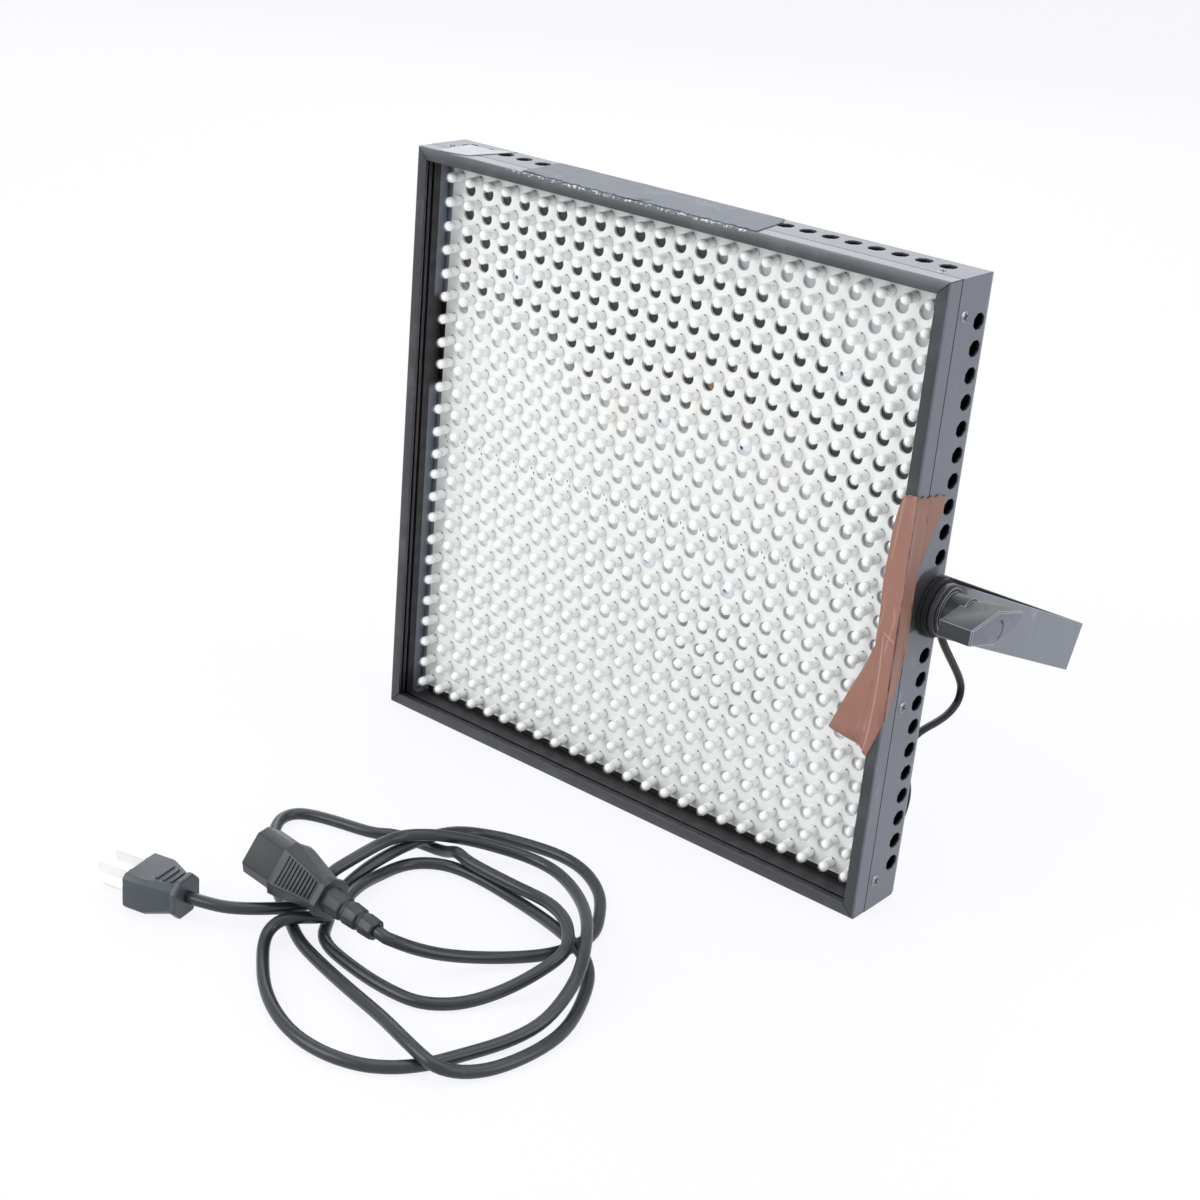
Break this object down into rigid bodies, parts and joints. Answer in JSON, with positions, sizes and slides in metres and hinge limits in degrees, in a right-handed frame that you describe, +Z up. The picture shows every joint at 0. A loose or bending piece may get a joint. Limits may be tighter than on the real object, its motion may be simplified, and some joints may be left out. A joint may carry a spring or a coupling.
{
  "type": "led_flood_light_panel",
  "caption": "Square LED flood light panel with mitred filter frame, sheet-metal housing, tilting yoke with a clamp knob and a detachable mains lead",
  "frame": {"origin": "middle of the housing's underside, on the ground, half way through the depth of the body", "axes": "+X to the viewer's right along the pivot axis, +Y from the light field to the rear, +Z up"},
  "size_m": [0.369, 0.4617, 0.3217],
  "materials": {
    "black_paint": "satin",
    "frame_paint": "satin",
    "black_sheet": "matte",
    "led_board": "satin",
    "grey_film": "matte",
    "circuit_board": "satin",
    "winding_tape": "satin",
    "capacitor_sleeve": "gloss",
    "bare_aluminium": "brushed",
    "yoke_paint": "satin painted",
    "zinc_steel": "zinc plated",
    "black_rubber": "matte",
    "black_plastic": "satin",
    "nickel_brass": "nickel plated",
    "cord_sheath": "satin",
    "cord_moulding": "satin",
    "brown_tape": "satin",
    "black_tape": "satin",
    "white_tape": "matte"
  },
  "bodies": {
    "panel": {"housing": "black_paint", "frame_top": "frame_paint", "frame_bottom": "frame_paint", "frame_left": "frame_paint", "frame_right": "frame_paint", "led_carrier": "black_sheet", "led_board_upper": "led_board", "led_board_lower": "led_board", "insulating_sheet": "grey_film", "power_board": "circuit_board", "transformer": "winding_tape", "filter_capacitor": "capacitor_sleeve", "heat_sink": "bare_aluminium", "pivot_nut_left": "zinc_steel", "pivot_nut_right": "zinc_steel", "washer_steel_left": "zinc_steel", "washer_steel_right": "zinc_steel", "washer_rubber_left": "black_rubber", "washer_rubber_right": "black_rubber", "pivot_bolt_left": "zinc_steel", "inlet_socket": "black_plastic", "inlet_pin_line": "nickel_brass", "inlet_pin_neutral": "nickel_brass", "inlet_pin_earth": "nickel_brass", "switch_frame": "black_plastic", "dimmer_bush": "zinc_steel", "cable_grommet_upper": "black_rubber", "cable_grommet_lower": "black_rubber", "rear_cable": "cord_sheath", "front_tape": "brown_tape", "top_tape": "black_tape", "tape_scrap": "white_tape", "power_cord": "cord_sheath", "cord_connector": "cord_moulding", "mains_plug": "cord_moulding", "plug_blade_left": "nickel_brass", "plug_blade_right": "nickel_brass", "plug_earth_pin": "nickel_brass"},
    "yoke": {"yoke": "yoke_paint"},
    "knob_right": {"clamp_knob_right": "black_plastic"},
    "switch": {"rocker_switch": "black_plastic"},
    "dimmer": {"dimmer_knob": "black_plastic"}
  },
  "joints": [
    {"name": "yoke_tilt", "type": "hinge", "parent": "panel", "child": "yoke", "pos_m": [0, 0.0107, 0.1603], "axis": [1, 0, 0], "range_deg": [-38, 200]},
    {"name": "knob_right_turn", "type": "hinge", "parent": "panel", "child": "knob_right", "pos_m": [0.1818, 0.0107, 0.1603], "axis": [1, 0, 0], "range_deg": [0, 360]},
    {"name": "switch_rock", "type": "hinge", "parent": "panel", "child": "switch", "pos_m": [0.02, 0.0205, 0.045], "axis": [0, 0, 1], "range_deg": [-20, 0]},
    {"name": "dimmer_turn", "type": "hinge", "parent": "panel", "child": "dimmer", "pos_m": [-0.02, 0.0205, 0.045], "axis": [0, 1, 0], "range_deg": [0, 270]}
  ]
}
